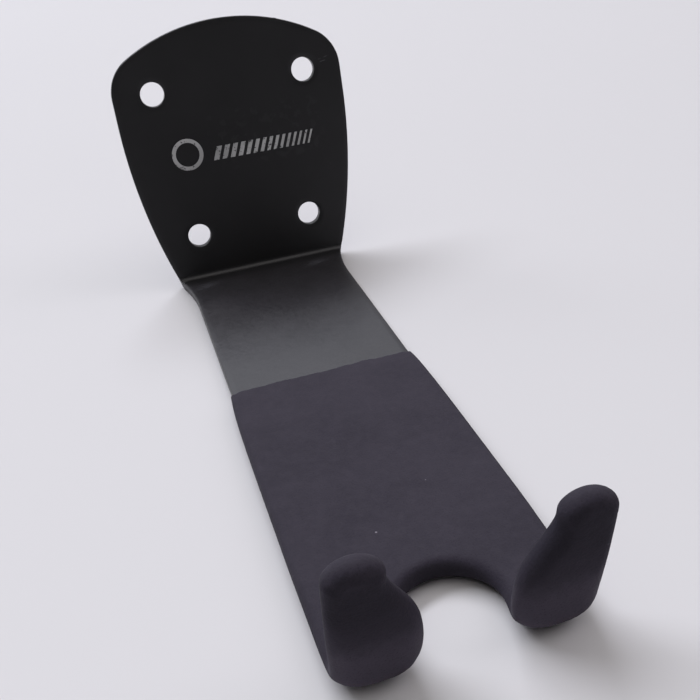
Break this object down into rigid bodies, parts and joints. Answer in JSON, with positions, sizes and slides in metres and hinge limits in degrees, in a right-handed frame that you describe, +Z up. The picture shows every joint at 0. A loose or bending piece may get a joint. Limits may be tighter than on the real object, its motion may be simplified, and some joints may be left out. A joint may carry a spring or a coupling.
{
  "type": "bicycle wall rack",
  "caption": "Steel wall hook that holds a bicycle by its pedal: a screwed wall plate, a sloping arm and a soft-coated two-pronged fork.",
  "frame": {"origin": "back face of the wall plate, in the middle of its four screw holes", "axes": "+Z up, +Y into the wall, the arm reaches out along -Y and falls away from level, X across the plate"},
  "size_m": [0.076, 0.1904, 0.1166],
  "materials": {
    "steel_paint": "satin black paint",
    "foam_skin": "matte dipped foam rubber",
    "print": "thin grey printed ink"
  },
  "bodies": {
    "root": {"steel_bracket": "steel_paint", "foam_coating": "foam_skin", "front_transfer": "print"}
  },
  "joints": []
}
